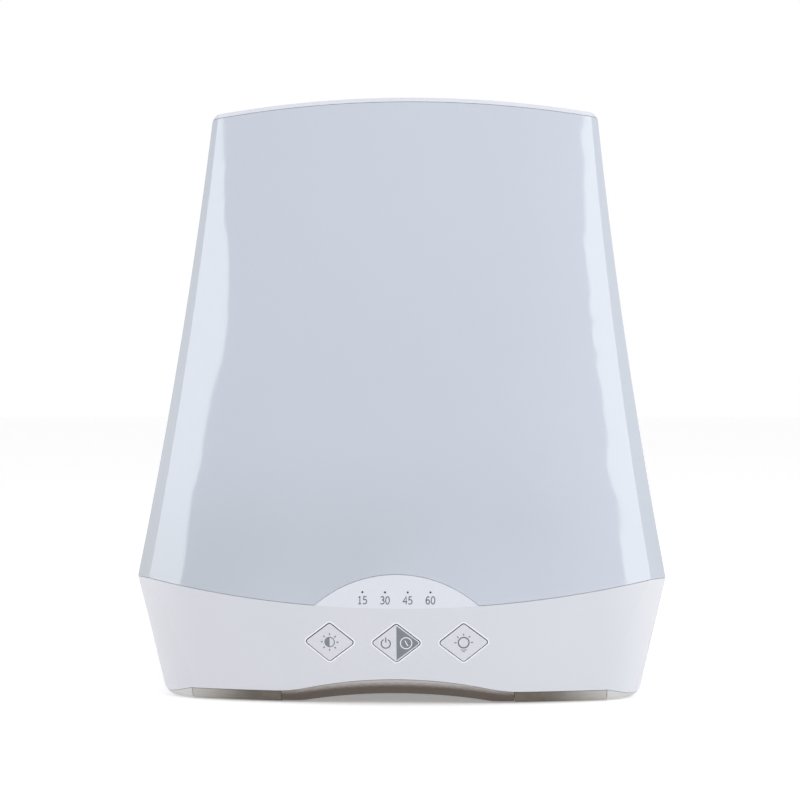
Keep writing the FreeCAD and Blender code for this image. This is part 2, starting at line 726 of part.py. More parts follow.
front_posts.append(block(
    "key_land", FACE, ("-land_half_width", "land_half_width"), ("-land_half_height", "land_half_height"),
    ("-land_depth", DEEP),
))

rear_posts = []
for side, sign in (("left", "-"), ("right", "")):
    for row in ("low", "high"):
        x, height = f"{sign}housing_screw_side_{row}", f"housing_screw_{row}"
        rear_posts.append(rear_rod(
            f"rear_post_{side}_{row}", x, height, (f"-{DEEP}", DEEP), "head_well + well_wall",
        ))
    x = f"{sign}cover_screw_side"
    rear_posts.append(rod(
        f"cover_post_rear_{side}", Placement(), x, "cover_screw_rear",
        ("floor_height + seam", "floor_height + cover_post_height"), "post_radius",
    ))
    rear_posts.append(world_block(
        f"cover_rib_rear_{side}", (f"{x} - rib_thick/2", f"{x} + rib_thick/2"), ("cover_screw_rear", DEEP),
        ("floor_height + seam", "floor_height + cover_post_height"),
    ))
    for i in range(3):
        rear_posts.append(rod(
            f"panel_post_{side}_{i}", PANEL, f"{sign}panel_post_side", f"panel_post_low + {i}*panel_post_pitch",
            (f"-{DEEP}", "-panel_back"), "small_post_radius",
        ))
INLET_HEIGHT = "(driver_height + board_thick + inlet_axis_height)"
INLET_FACE = f"({base_rear(INLET_HEIGHT)} - inlet_pad)"
rear_posts.append(world_block(
    "inlet_pad_block", ("inlet_side - inlet_width", "inlet_side + inlet_width"), (INLET_FACE, DEEP),
    ("driver_height", f"{INLET_HEIGHT} + inlet_width"),
))

# Zones of the covers
front_half = block(
    "front_half", PANEL, (f"-{FAR}", FAR), (f"-overall_height", "overall_height*2"), ("seam/2", DEEP),
)
front_reach = block(
    "front_reach", PANEL, (f"-{FAR}", FAR), (f"-overall_height", "overall_height*2"), ("-seam/2", DEEP),
)
lens_zone = prism("lens_zone", parting_line("seam/2") + rim_line("(rim_height + seam/2)"))
base_zone = prism("base_zone", skirt_line("seam/2") + backwards(parting_line("-seam/2")))
FLOOR = [(f"-{FAR}", "-crown_rise", None, 0), (FAR, "-crown_rise", None, 0)]
UNDERSIDE = [(f"-{FAR}", "foot_proud", None, 0), (FAR, "foot_proud", None, 0)]
cover_zone = prism("cover_zone", UNDERSIDE + backwards(skirt_line("-seam/2")))
below_rim = prism("below_rim", FLOOR + rim_line("(rim_height - seam/2)"))
below_skirt = prism("below_skirt", FLOOR + backwards(skirt_line("seam/2")))

# Lens
lens_solid = common("lens_solid", common("lens_front", outer, lens_zone), front_half)
node("diffuser_lens", cut("diffuser_lens", lens_solid, cavity))


# Diamond keys
def diamond(grow):
    """A key's diamond, its sides moved out by grow, as corners of straight edges."""
    across = "(key_half_width*key_half_height / sqrt(key_half_width^2 + key_half_height^2))"
    scale = f"(1 + ({grow}) / {across})"
    x, y = f"(key_half_width*{scale})", f"(key_half_height*{scale})"
    return [(f"-{x}", "0"), ("0", f"-{y}"), (x, "0"), ("0", y)]


def diamond_prism(name, x, grow, low, high):
    corners = [(f"{px} + {x}", py, None, 0) for px, py in diamond(grow)]
    body = plate(name, FACE, corners, low, high)
    doc.recompute()
    pad = body.Tip
    upright = [
        f"Edge{i}"
        for i, edge in enumerate(pad.Shape.Edges, start=1)
        if edge.BoundBox.XLength < 1e-6 and edge.BoundBox.YLength < 1e-6
    ]
    rounding = body.newObject("PartDesign::Fillet", f"{name}_tips")
    rounding.Base = (pad, upright)
    bind(rounding, "Radius", f"(key_tip + ({grow}))")
    body.Tip = rounding
    return body


KEYS = (("brightness", "-key_pitch"), ("power_timer", "0"), ("light", "key_pitch"))
key_holes = []
for key, x in KEYS:
    key_holes.append(diamond_prism(f"{key}_opening", x, "0", "-land_depth*2", DEEP))
    prism_body = diamond_prism(f"{key}_cap_prism", x, "-key_gap", f"{FLANGE_BACK} - key_proud", DEEP)
    cap = common(f"{key}_cap", outer, prism_body)
    cap.Placement = Placement(FACE.Rotation.multVec(Vector(0, 0, value("key_proud"))), Rotation())
    flange = diamond_prism(f"{key}_flange", x, "key_flange", FLANGE_BACK, f"{FLANGE_BACK} + key_flange_thick")
    stem = rod(f"{key}_stem", FACE, x, "0", (f"{FLANGE_BACK} - stem_length", FLANGE_BACK), "stem_radius")
    node(f"key_{key}", fuse(f"key_{key}", cap, flange, stem))
    node(f"plunger_{key}", rod(
        f"plunger_{key}", FACE, x, "0", (f"{CASE_TOP} - plunger_in", f"{CASE_TOP} + plunger_out"), "plunger_radius",
    ))
    case = block(
        f"{key}_case", FACE, (f"{x} - switch_side/2", f"{x} + switch_side/2"), ("-switch_side/2", "switch_side/2"),
        (BOARD_FRONT, CASE_TOP),
    )
    bore = rod(
        f"{key}_case_bore", FACE, x, "0", (f"{CASE_TOP} - plunger_in - key_travel - plunger_play", f"{CASE_TOP} + seam"),
        "plunger_radius + plunger_play",
    )
    node(f"switch_{key}", cut(f"switch_{key}", case, bore))

# Front housing, with the openings for keys, light pipes and screws
DOT_UP = (
    f"((dot_height - key_row_height)*cos(front_undercut)"
    f" - ({upper_front('dot_height')} - {base_front('key_row_height')})*sin(front_undercut))"
)
DOTS = [f"{i}*dot_pitch/2" for i in (-3, -1, 1, 3)]
base_solid = common("base_solid", common("base_front", outer, base_zone), front_half)
front_space = cut("front_space", cavity, *front_posts)
front_holes = list(key_holes)
for i, x in enumerate(DOTS):
    front_holes.append(rod(f"dot_hole_{i}", FACE, x, DOT_UP, ("-land_depth*2", DEEP), "dot_radius + pipe_play"))
PILOT = "(board_screw_length - board_thick + pilot_spare)"
control_places = (
    ("left", "-control_post_side", "0"),
    ("right", "control_post_side", "0"),
    ("top", "0", "control_post_top"),
)
for name, x, y in control_places:
    front_holes.append(rod(
        f"control_pilot_{name}", FACE, x, y, (f"{BOARD_FRONT} - seam", f"{BOARD_FRONT} + {PILOT}"), "pilot_radius",
    ))


def plane_y(height):
    """Where the lens plane lies at a height."""
    return f"({LENS_PLANE_LOW} + (({height}) - crease_side_height)*tan({PANEL_LEAN}))"


for side, sign in (("left", "-"), ("right", "")):
    for row in ("low", "high"):
        height = f"housing_screw_{row}"
        end = f"{plane_y(height)} + seat_thick - screw_length - pilot_spare"
        front_holes.append(rear_rod(
            f"front_pilot_{side}_{row}", f"{sign}housing_screw_side_{row}", height, (end, "0"), "pilot_radius",
        ))
    front_holes.append(rod(
        f"cover_pilot_front_{side}", Placement(), f"{sign}cover_screw_side", "cover_screw_front",
        ("floor_height - seat_thick", "floor_height - seat_thick + screw_length + pilot_spare"), "pilot_radius",
    ))
node("front_housing", cut("front_housing", cut("front_shell", base_solid, front_space), *front_holes))

# Rear housing, with vents, inlet and screw wells
rear_solid = cut("rear_solid", outer, common("front_part", front_reach, below_rim), below_skirt)
rear_space = cut("rear_space", cavity, *rear_posts)
rear_holes = []
for side, sign in (("left", "-"), ("right", "")):
    for row in ("low", "high"):
        x, height = f"{sign}housing_screw_side_{row}", f"housing_screw_{row}"
        seat = f"{plane_y(height)} + seat_thick"
        rear_holes.append(rear_rod(f"well_{side}_{row}", x, height, (seat, DEEP), "head_well"))
        rear_holes.append(rear_rod(
            f"through_{side}_{row}", x, height, (f"{seat} - seat_thick*2", seat), "clearance_radius",
        ))
    rear_holes.append(rod(
        f"cover_pilot_rear_{side}", Placement(), f"{sign}cover_screw_side", "cover_screw_rear",
        ("floor_height - seat_thick", "floor_height - seat_thick + screw_length + pilot_spare"), "pilot_radius",
    ))
    for i in range(3):
        rear_holes.append(rod(
            f"panel_pilot_{side}_{i}", PANEL, f"{sign}panel_post_side", f"panel_post_low + {i}*panel_post_pitch",
            (f"-panel_back - {PILOT}", "-panel_back + seam"), "pilot_radius",
        ))
rear_holes.append(rear_rod(
    "inlet_hole", "inlet_side", INLET_HEIGHT, ("0", DEEP), "inlet_nozzle + inlet_nozzle_play",
))
rear_holes.append(rear_rod(
    "inlet_recess_hole", "inlet_side", INLET_HEIGHT, (f"{INLET_FACE} + inlet_skin", DEEP), "inlet_recess",
))


def slot(name, frame, x, y, length, z):
    """A slot with round ends, along a frame's Y."""
    half = f"({length}/2 - vent_width/2)"
    corners = [
        (f"{x} - vent_width/2", f"{y} - {half}", "vent_width/2*1.0001", 1),
        (f"{x} + vent_width/2", f"{y} - {half}", None, 0),
        (f"{x} + vent_width/2", f"{y} + {half}", "vent_width/2*1.0001", 1),
        (f"{x} - vent_width/2", f"{y} + {half}", None, 0),
    ]
    return plate(name, frame, corners, *z)


for row in ("low", "high"):
    for i in range(int(value("vent_count"))):
        x = f"({i} - (vent_count - 1)/2)*vent_pitch"
        start = f"{plane_y(f'vent_{row}')} + panel_back"
        rear_holes.append(slot(f"vent_{row}_{i}", REARWARD, x, f"-vent_{row}", "vent_length", (start, DEEP)))
node("rear_housing", cut("rear_housing", cut("rear_shell", rear_solid, rear_space), *rear_holes))

# Bottom cover and feet
plug_form = base_form("plug", "(wall + seam)")
inner_form = base_form("cover_inner", "wall")
floor_slab = world_block("floor_slab", (f"-{FAR}", FAR), (f"-{FAR}", FAR), ("skirt_low/2 + seam", "floor_height"))
plug = common("plug_slab", plug_form, common("plug_outer", floor_slab, outer))
above_floor = world_block("above_floor", (f"-{FAR}", FAR), (f"-{FAR}", FAR), ("floor_height", "floor_height*3"))
cover_blank = cut(
    "cover_blank", fuse("cover_solid", common("cover_band", outer, cover_zone), plug),
    common("cover_hollow", inner_form, above_floor),
)
cover_parts, cover_holes = [cover_blank], []
for side, sign in (("left", "-"), ("right", "")):
    for end in ("front", "rear"):
        x = f"{sign}driver_post_side"
        cover_parts.append(rod(
            f"driver_post_{end}_{side}", Placement(), x, f"driver_post_{end}", ("floor_height - seam", "driver_height"),
            "small_post_radius",
        ))
        cover_holes.append(rod(
            f"driver_pilot_{end}_{side}", Placement(), x, f"driver_post_{end}",
            ("driver_height + board_thick - board_screw_length - pilot_spare", "driver_height + seam"), "pilot_radius",
        ))
        x, y = f"{sign}cover_screw_side", f"cover_screw_{end}"
        cover_holes.append(rod(
            f"cover_well_{end}_{side}", Placement(), x, y, ("-crown_rise", "floor_height - seat_thick"), "head_well",
        ))
        cover_holes.append(rod(
            f"cover_through_{end}_{side}", Placement(), x, y, ("floor_height - seat_thick*2", "floor_height + seam*2"),
            "clearance_radius",
        ))
        lateral = ("-foot_end", "-foot_start") if sign else ("foot_start", "foot_end")
        if end == "front":
            along = (f"-{DEEP}", f"{base_front('0')} + foot_front_depth")
        else:
            along = (f"{base_rear('0')} - foot_rear_depth", DEEP)
        room = world_block(f"foot_room_{end}_{side}", lateral, along, ("-crown_rise", "skirt_height + seam/2"))
        pad_block = world_block(
            f"foot_block_{end}_{side}",
            (f"{lateral[0]} + seam", f"{lateral[1]} - seam"), (f"{along[0]} + seam", f"{along[1]} - seam"),
            ("-crown_rise", "skirt_height - seam/2"),
        )
        cover_holes.append(room)
        node(f"foot_{end}_{side}", common(f"foot_{end}_{side}", outer, pad_block))
for i in range(int(value("vent_count"))):
    x = f"({i} - (vent_count - 1)/2)*cover_vent_pitch"
    cover_holes.append(slot(
        f"cover_vent_{i}", Placement(), x, "cover_vent_middle", "cover_vent_length", ("0", "floor_height*2"),
    ))
node("bottom_cover", cut("bottom_cover", fuse("cover_with_posts", *cover_parts), *cover_holes))

# Control board and indicators
board_corners = [
    ("-control_half_width", "-control_low", None, 0), ("control_half_width", "-control_low", None, 0),
    ("control_half_width", "control_high", None, 0), ("control_neck_half", "control_high", None, 0),
    ("control_neck_half", "control_top", None, 0), ("-control_neck_half", "control_top", None, 0),
    ("-control_neck_half", "control_high", None, 0), ("-control_half_width", "control_high", None, 0),
]
control_blank = plate("control_blank", FACE, board_corners, BOARD_BACK, BOARD_FRONT)
control_holes = [
    rod(f"control_hole_{name}", FACE, x, y, (f"{BOARD_BACK} - seam", f"{BOARD_FRONT} + seam"), "clearance_radius")
    for name, x, y in control_places
]
node("control_board", cut("control_board", control_blank, *control_holes))
node("control_chip", block(
    "control_chip", FACE, ("control_chip_side - chip_width/2", "control_chip_side + chip_width/2"),
    ("-chip_width/2", "chip_width/2"), (f"{BOARD_BACK} - chip_thick", BOARD_BACK),
))
RIBBON_PLUG = ("-ribbon_width/2 - plug_margin", "ribbon_width/2 + plug_margin")
node("control_plug", block(
    "control_plug", FACE, RIBBON_PLUG, ("-plug_depth/2", "plug_depth/2"),
    (f"{BOARD_BACK} - plug_height", BOARD_BACK),
))
bundle("indicator_lights", [
    block(
        f"indicator_{i}", FACE, (f"{x} - indicator_length/2", f"{x} + indicator_length/2"),
        (f"{DOT_UP} - indicator_length/4", f"{DOT_UP} + indicator_length/4"),
        (BOARD_FRONT, f"{BOARD_FRONT} + indicator_height"),
    )
    for i, x in enumerate(DOTS)
])
pipe_low = f"({BOARD_FRONT} + indicator_height + seam)"
bar_low = f"({BOARD_FRONT} + pipe_bar_stand)"
pipe_parts = [block(
    "pipe_bar", FACE, ("-pipe_bar_half", "pipe_bar_half"),
    (f"{DOT_UP} - pipe_bar_side/2", f"{DOT_UP} + pipe_bar_side/2"), (bar_low, f"{bar_low} + pipe_bar_thick"),
)]
PIN_SHOULDER = (
    f"(-({upper_front('dot_height')} - {base_front('key_row_height')})*cos(front_undercut)"
    f" - (dot_height - key_row_height)*sin(front_undercut) - wall*1.3)"
)
for i, x in enumerate(DOTS):
    pipe_parts.append(rod(f"pipe_pin_{i}", FACE, x, DOT_UP, (pipe_low, PIN_SHOULDER), "pipe_radius"))
    tip = rod(f"pipe_tip_{i}", FACE, x, DOT_UP, (bar_low, DEEP), "dot_radius")
    pipe_parts.append(common(f"pipe_tip_cut_{i}", tip, outer))
for side, sign in (("left", "-"), ("right", "")):
    pipe_parts.append(rod(
        f"pipe_leg_{side}", FACE, f"{sign}(pipe_bar_half - pipe_radius*1.5)", DOT_UP, (BOARD_FRONT, bar_low),
        "pipe_radius",
    ))
node("indicator_light_pipe", fuse("indicator_light_pipe", *pipe_parts))

# Light engine
def trapezium(grow):
    """The light board's outline, its edges moved out by grow."""
    return [
        (f"-(panel_half_low + {grow})", f"panel_low - {grow}", None, 0),
        (f"(panel_half_low + {grow})", f"panel_low - {grow}", None, 0),
        (f"(panel_half_high + {grow})", f"panel_high + {grow}", None, 0),
        (f"-(panel_half_high + {grow})", f"panel_high + {grow}", None, 0),
    ]


PANEL_FRONT = "(-panel_back + board_thick)"
light_blank = plate("light_blank", PANEL, trapezium("0"), "-panel_back", PANEL_FRONT)
panel_places = [
    (f"{sign}panel_post_side", f"(panel_post_low + {i}*panel_post_pitch)") for sign in ("-", "") for i in range(3)
]
light_holes = [
    rod(f"light_hole_{i}", PANEL, x, y, ("-panel_back - seam", f"{PANEL_FRONT} + seam"), "clearance_radius")
    for i, (x, y) in enumerate(panel_places)
]
node("light_board", cut("light_board", light_blank, *light_holes))

emitters = []
rows = int((value("panel_high - panel_low - emitter_edge*2")) // value("emitter_pitch_up")) + 1
for j in range(rows):
    y = value("panel_low + emitter_edge") + j * value("emitter_pitch_up")
    share = (y - value("panel_low")) / value("panel_high - panel_low")
    half = value("panel_half_low") + share * value("panel_half_high - panel_half_low") - value("emitter_edge")
    columns = int(half // value("emitter_pitch_across"))
    for i in range(-columns, columns + 1):
        corner = Vector(
            i * value("emitter_pitch_across") - value("emitter_width") / 2, y - value("emitter_tall") / 2,
            value(PANEL_FRONT),
        )
        source = Part.makeBox(value("emitter_width"), value("emitter_tall"), value("emitter_thick"), corner)
        emitters.append(source.transformed(PANEL.toMatrix(), copy=True))
group("light_emitters", emitters)

RIM_BACK = "(-tray_rim)"
tray = doc.addObject("PartDesign::Body", "reflector_body")
tray_outer = [
    outline(tray, "tray_outer_low", "XY_Plane", PANEL_FRONT, trapezium("0")),
    outline(tray, "tray_outer_high", "XY_Plane", RIM_BACK, trapezium("tray_flare")),
]
loft(tray, "tray_outer", tray_outer, True)
tray_inner = [
    outline(tray, "tray_inner_low", "XY_Plane", f"{PANEL_FRONT} + tray_wall", trapezium("(-tray_wall)")),
    outline(tray, "tray_inner_high", "XY_Plane", f"{RIM_BACK} + seam/2", trapezium("(tray_flare - tray_wall)")),
]
hollow = tray.newObject("PartDesign::SubtractiveLoft", "tray_hollow")
hollow.Profile, hollow.Sections, hollow.Ruled = tray_inner[0], tray_inner[1:], True
tray.Tip = hollow
window = outline(tray, "tray_window", "XY_Plane", RIM_BACK, trapezium("(-tray_ledge)"))
opening = tray.newObject("PartDesign::Pocket", "tray_opening")
opening.Profile = window
opening.Type = "ThroughAll"
tray.Tip = opening
tray.Placement = PANEL
node("reflector_tray", tray)
node("diffusing_sheet", plate(
    "diffusing_sheet", PANEL, trapezium("(tray_flare + sheet_margin)"), RIM_BACK, f"{RIM_BACK} + sheet_thick",
))
PLUG_SIDES = ("wire_side - plug_width/2", "wire_side + plug_width/2")
PLUG_FOOT = "(panel_low + light_plug_foot)"
node("light_plug", block(
    "light_plug", PANEL, PLUG_SIDES, (PLUG_FOOT, f"{PLUG_FOOT} + plug_width"),
    ("-panel_back - light_plug_tall", "-panel_back"),
))

# Driver board
driver_blank = world_block(
    "driver_blank", ("-driver_half_width", "driver_half_width"), ("driver_front", "driver_rear"),
    ("driver_height", "driver_height + board_thick"),
)
driver_places = [
    (f"{sign}driver_post_side", f"driver_post_{end}") for sign in ("-", "") for end in ("front", "rear")
]
DECK = "(driver_height + board_thick)"
driver_holes = [
    rod(f"driver_hole_{i}", Placement(), x, y, ("driver_height - seam", f"{DECK} + seam"), "clearance_radius")
    for i, (x, y) in enumerate(driver_places)
]
node("driver_board", cut("driver_board", driver_blank, *driver_holes))
COIL_TOP = f"({DECK} + coil_height)"
coil_levels = (
    ("coil_foot", DECK, f"{DECK} + coil_plate_thick", "coil_plate_radius"),
    ("coil_winding", f"{DECK} + coil_plate_thick", f"{COIL_TOP} - coil_plate_thick", "coil_winding_radius"),
    ("coil_top", f"{COIL_TOP} - coil_plate_thick", COIL_TOP, "coil_plate_radius"),
)
coil_parts = [
    rod(name, Placement(), "coil_side", "coil_depth", (low, high), radius)
    for name, low, high, radius in coil_levels
]
node("driver_coil", fuse("driver_coil", *coil_parts))
node("driver_capacitor", rod(
    "driver_capacitor", Placement(), "capacitor_side", "capacitor_depth", (DECK, f"{DECK} + capacitor_height"),
    "capacitor_radius",
))
node("driver_chip", world_block(
    "driver_chip", ("-chip_width/2", "chip_width/2"),
    ("driver_chip_depth - chip_width/2", "driver_chip_depth + chip_width/2"), (DECK, f"{DECK} + chip_thick"),
))

# Wires to the light board: out of its plug, down along it, then upright into the driver board's plug
PLUG_TOP = f"({DECK} + plug_height)"
start = PANEL.multVec(Vector(0, value(PLUG_FOOT), value("-panel_back - light_plug_tall/2")))
down = PANEL.Rotation.multVec(Vector(0, -1, 0))
bend = start + down * ((start.z - value(PLUG_TOP)) / 2 / -down.z)
node("driver_light_plug", world_block(
    "driver_light_plug", PLUG_SIDES, (f"{bend.y} - plug_depth/2", f"{bend.y} + plug_depth/2"), (DECK, PLUG_TOP),
))


def bent_path(points, share):
    """Straight runs joined by tangent arcs, each as large as its two runs allow."""
    edges, here = [], points[0]
    for before, corner, after in zip(points, points[1:], points[2:]):
        into, out = corner - before, after - corner
        half_turn = into.getAngle(out) / 2
        setback = share * min(into.Length, out.Length)
        radius = setback / math.tan(half_turn)
        first = corner - into.normalize() * setback
        last = corner + out.normalize() * setback
        middle_way = (last - corner) + (first - corner)
        middle = corner + middle_way.normalize() * (radius / math.cos(half_turn) - radius)
        edges += [Part.LineSegment(here, first).toShape(), Part.Arc(first, middle, last).toShape()]
        here = last
    edges.append(Part.LineSegment(here, points[-1]).toShape())
    return Part.Wire(edges)


for colour, shift in (("red", -0.5), ("black", 0.5)):
    x = value("wire_side") + shift * value("wire_spacing")
    points = [Vector(x, start.y, start.z), Vector(x, bend.y, bend.z), Vector(x, bend.y, value(PLUG_TOP))]
    path = bent_path(points, value("wire_bend_share"))
    ring = Part.Wire(Part.makeCircle(value("wire_radius"), points[0], points[1] - points[0]))
    wire = doc.addObject("Part::Feature", f"light_wire_{colour}")
    wire.Shape = path.makePipeShell([ring], True, False)
    node(f"light_wire_{colour}", wire)

# Ribbon from the control board back to its plug on the driver board
ribbon_start = FACE.multVec(Vector(0, 0, value(f"{BOARD_BACK} - plug_height")))
inward = FACE.Rotation.multVec(Vector(0, 0, -1))
ribbon_y = value("driver_front + ribbon_plug_back")
ribbon_corner = ribbon_start + inward * ((ribbon_y - ribbon_start.y) / inward.y)
ribbon_end = Vector(0, ribbon_y, value(PLUG_TOP))
node("driver_control_plug", world_block(
    "driver_control_plug", RIBBON_PLUG, (f"{ribbon_y} - plug_depth/2", f"{ribbon_y} + plug_depth/2"),
    (DECK, PLUG_TOP),
))
ribbon_path = bent_path([ribbon_start, ribbon_corner, ribbon_end], value("ribbon_bend_share"))
ribbon_edge = Vector(value("-ribbon_width/2"), value("-ribbon_thick/2"), value(f"{BOARD_BACK} - plug_height"))
corner = FACE.multVec(ribbon_edge)
across = Vector(value("ribbon_width"), 0, 0)
upward = FACE.Rotation.multVec(Vector(0, value("ribbon_thick"), 0))
section = Part.makePolygon([corner, corner + across, corner + across + upward, corner + upward, corner])
ribbon = doc.addObject("Part::Feature", "control_ribbon")
ribbon.Shape = ribbon_path.makePipeShell([section], True, False)
node("control_ribbon", ribbon)

# Power inlet
inlet_mouth = f"({INLET_FACE} + inlet_skin - seam)"
body_block = world_block(
    "inlet_body", ("inlet_side - inlet_width/2", "inlet_side + inlet_width/2"),
    (f"{INLET_FACE} - inlet_length", f"{INLET_FACE} - seam"),
    (DECK, f"{DECK} + inlet_tall"),
)
nozzle = rear_rod(
    "inlet_nozzle_ring", "inlet_side", INLET_HEIGHT, (f"{INLET_FACE} - seam*2", inlet_mouth), "inlet_nozzle",
)
bore = rear_rod(
    "inlet_bore_hole", "inlet_side", INLET_HEIGHT, (f"{inlet_mouth} - inlet_depth", f"{inlet_mouth} + seam"),
    "inlet_bore",
)
node("dc_inlet", cut("dc_inlet", fuse("inlet_outer", body_block, nozzle), bore))
node("dc_inlet_pin", rear_rod(
    "dc_inlet_pin", "inlet_side", INLET_HEIGHT,
    (f"{inlet_mouth} - inlet_depth", f"{inlet_mouth} - inlet_pin_short"), "inlet_pin",
))

# Screws
doc.recompute()
long_screw = screw_master("long_screw", "screw_length")
short_screw = screw_master("short_screw", "board_screw_length")
doc.recompute()
board_screw_places = {
    "control_screws": [
        FACE * Placement(Vector(value(x), value(y), value(BOARD_BACK)), Rotation(Vector(1, 0, 0), 180))
        for name, x, y in control_places
    ],
    "light_board_screws": [
        PANEL * Placement(Vector(value(x), value(y), value(PANEL_FRONT)), Rotation()) for x, y in panel_places
    ],
    "driver_screws": [Placement(Vector(value(x), value(y), value(DECK)), Rotation()) for x, y in driver_places],
}
for name, places in board_screw_places.items():
    group(name, copies(short_screw, places))
group("housing_screws", copies(long_screw, [
    Placement(
        Vector(value(f"{sign}housing_screw_side_{row}"), value(f"{plane_y(f'housing_screw_{row}')} + seat_thick"),
               value(f"housing_screw_{row}")),
        Rotation(Vector(1, 0, 0), -90),
    )
    for sign in ("-", "") for row in ("low", "high")
]))
group("cover_screws", copies(long_screw, [
    Placement(
        Vector(value(f"{sign}cover_screw_side"), value(f"cover_screw_{end}"), value("floor_height - seat_thick")),
        Rotation(Vector(1, 0, 0), 180),
    )
    for sign in ("-", "") for end in ("front", "rear")
]))
doc.recompute()

# Check every object, then write each piece
for item in doc.Objects:
    if "Invalid" in item.State or "Error" in item.State:
        raise RuntimeError(f"{item.Label} failed to build: {item.State}")
for item in nodes:
    if item.Shape.isNull() or not item.Shape.isValid():
        raise RuntimeError(f"{item.Label} has no valid shape")
os.makedirs("parts", exist_ok=True)
for item in nodes:
    item.Shape.exportStep(f"parts/{item.Label}.step")
    print(item.Label, len(item.Shape.Solids), round(item.Shape.Volume, 1))
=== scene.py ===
import json
import math

import bmesh
import bpy
from mathutils import Matrix, Vector
from mathutils.bvhtree import BVHTree


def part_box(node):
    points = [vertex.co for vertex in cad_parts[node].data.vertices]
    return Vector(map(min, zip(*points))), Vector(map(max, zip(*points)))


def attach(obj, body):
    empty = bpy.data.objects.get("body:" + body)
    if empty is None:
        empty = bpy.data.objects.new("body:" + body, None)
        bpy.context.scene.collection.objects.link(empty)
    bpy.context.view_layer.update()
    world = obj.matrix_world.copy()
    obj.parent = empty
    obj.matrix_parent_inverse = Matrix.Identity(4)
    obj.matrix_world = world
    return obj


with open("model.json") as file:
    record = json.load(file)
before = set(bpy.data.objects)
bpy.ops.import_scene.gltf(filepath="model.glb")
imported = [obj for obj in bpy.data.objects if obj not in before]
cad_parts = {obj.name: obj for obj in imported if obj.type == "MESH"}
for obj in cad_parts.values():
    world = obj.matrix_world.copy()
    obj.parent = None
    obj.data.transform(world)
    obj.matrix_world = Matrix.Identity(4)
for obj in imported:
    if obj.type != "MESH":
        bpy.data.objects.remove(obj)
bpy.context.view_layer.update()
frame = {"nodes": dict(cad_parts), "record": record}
NODES = frame["nodes"]
MM = 0.001
WHITE = (1.0, 1.0, 1.0, 1.0)


# Colours and shader sums
def seen(red, green, blue):
    """A colour as read off a screen, from 0 to 255, turned into light values."""
    return tuple(
        c / 255 / 12.92 if c / 255 <= 0.04045 else ((c / 255 + 0.055) / 1.055) ** 2.4
        for c in (red, green, blue)
    ) + (1.0,)


class Nodes:
    """A tree of nodes, grown by one call for each node."""

    def __init__(self, tree):
        self.tree = tree

    def add(self, kind, settings, inputs):
        node = self.tree.nodes.new(kind)
        for key, setting in settings.items():
            setattr(node, key, setting)
        for key, given in inputs.items():
            self.feed(node.inputs[key], given)
        return node

    def feed(self, socket, given):
        """A value, or a link from another node, into a socket."""
        if isinstance(given, Value):
            self.tree.links.new(given.socket, socket)
        elif isinstance(given, bpy.types.NodeSocket):
            self.tree.links.new(given, socket)
        else:
            socket.default_value = given


class Value:
    """A number inside a tree of nodes, with ordinary sums."""

    def __init__(self, nodes, socket):
        self.nodes, self.socket = nodes, socket

    def sum(self, operation, *terms):
        node = self.nodes.add("ShaderNodeMath", {"operation": operation}, dict(enumerate(terms)))
        return Value(self.nodes, node.outputs[0])

    def __add__(self, other):
        return self.sum("ADD", self, other)

    __radd__ = __add__

    def __sub__(self, other):
        return self.sum("SUBTRACT", self, other)

    def __rsub__(self, other):
        return self.sum("SUBTRACT", other, self)

    def __mul__(self, other):
        return self.sum("MULTIPLY", self, other)

    __rmul__ = __mul__

    def size(self):
        """The number without its sign."""
        return self.sum("ABSOLUTE", self)

    def wave(self):
        """The sine of the number, in radians."""
        return self.sum("SINE", self)

    def larger(self, other):
        """The larger of two numbers."""
        return self.sum("MAXIMUM", self, other)

    def between(self, low, high):
        """0 below low, 1 above high, and a smooth rise from one to the other."""
        node = self.nodes.add(
            "ShaderNodeMapRange", {"interpolation_type": "SMOOTHSTEP"},
            {"Value": self, "From Min": low, "From Max": high},
        )
        return Value(self.nodes, node.outputs[0])


class Finish(Nodes):
    """A material for one kind of piece."""

    def __init__(self, name, colour, roughness, **fixed):
        self.name = name
        self.material = bpy.data.materials.new(name)
        self.material.use_nodes = True
        super().__init__(self.material.node_tree)
        self.surface = self.tree.nodes["Principled BSDF"]
        self.surface.inputs["Base Color"].default_value = colour
        self.surface.inputs["Roughness"].default_value = roughness
        for key, number in fixed.items():
            self.surface.inputs[key.replace("_", " ")].default_value = number

    def place(self):
        """Where a point is on the lamp, in metres."""
        return self.add("ShaderNodeTexCoord", {}, {}).outputs["Object"]

    def along(self, axis):
        parts = self.add("ShaderNodeSeparateXYZ", {}, {"Vector": self.place()})
        return Value(self, parts.outputs[axis])

    def facing_up(self):
        """1 where the surface looks straight up, 0 where it is upright, -1 where it looks down."""
        turned = self.add("ShaderNodeTexCoord", {}, {}).outputs["Normal"]
        parts = self.add("ShaderNodeSeparateXYZ", {}, {"Vector": turned})
        return Value(self, parts.outputs["Z"])

    def noise(self, per_metre, detail=2.0):
        node = self.add(
            "ShaderNodeTexNoise", {}, {"Vector": self.place(), "Scale": per_metre, "Detail": detail},
        )
        return Value(self, node.outputs["Fac"])

    def mix(self, share, first, second):
        """A colour between two; 6 and 7 are the mix node's colour sockets, and 2 its colour output."""
        node = self.add("ShaderNodeMix", {"data_type": "RGBA"}, {0: share, 6: first, 7: second})
        return node.outputs[2]

    def cloudy(self, first, second, per_metre=14.0, low=0.3, high=0.7):
        """Soft patches of two colours."""
        return self.mix(self.noise(per_metre).between(low, high), first, second)

    def set(self, name, given):
        self.feed(self.surface.inputs[name], given)
        return self

    def grain(self, height, distance):
        """Fine relief from a height between 0 and 1, distance metres deep."""
        node = self.add("ShaderNodeBump", {}, {"Height": height, "Distance": distance, "Strength": 1.0})
        return self.set("Normal", node.outputs["Normal"])


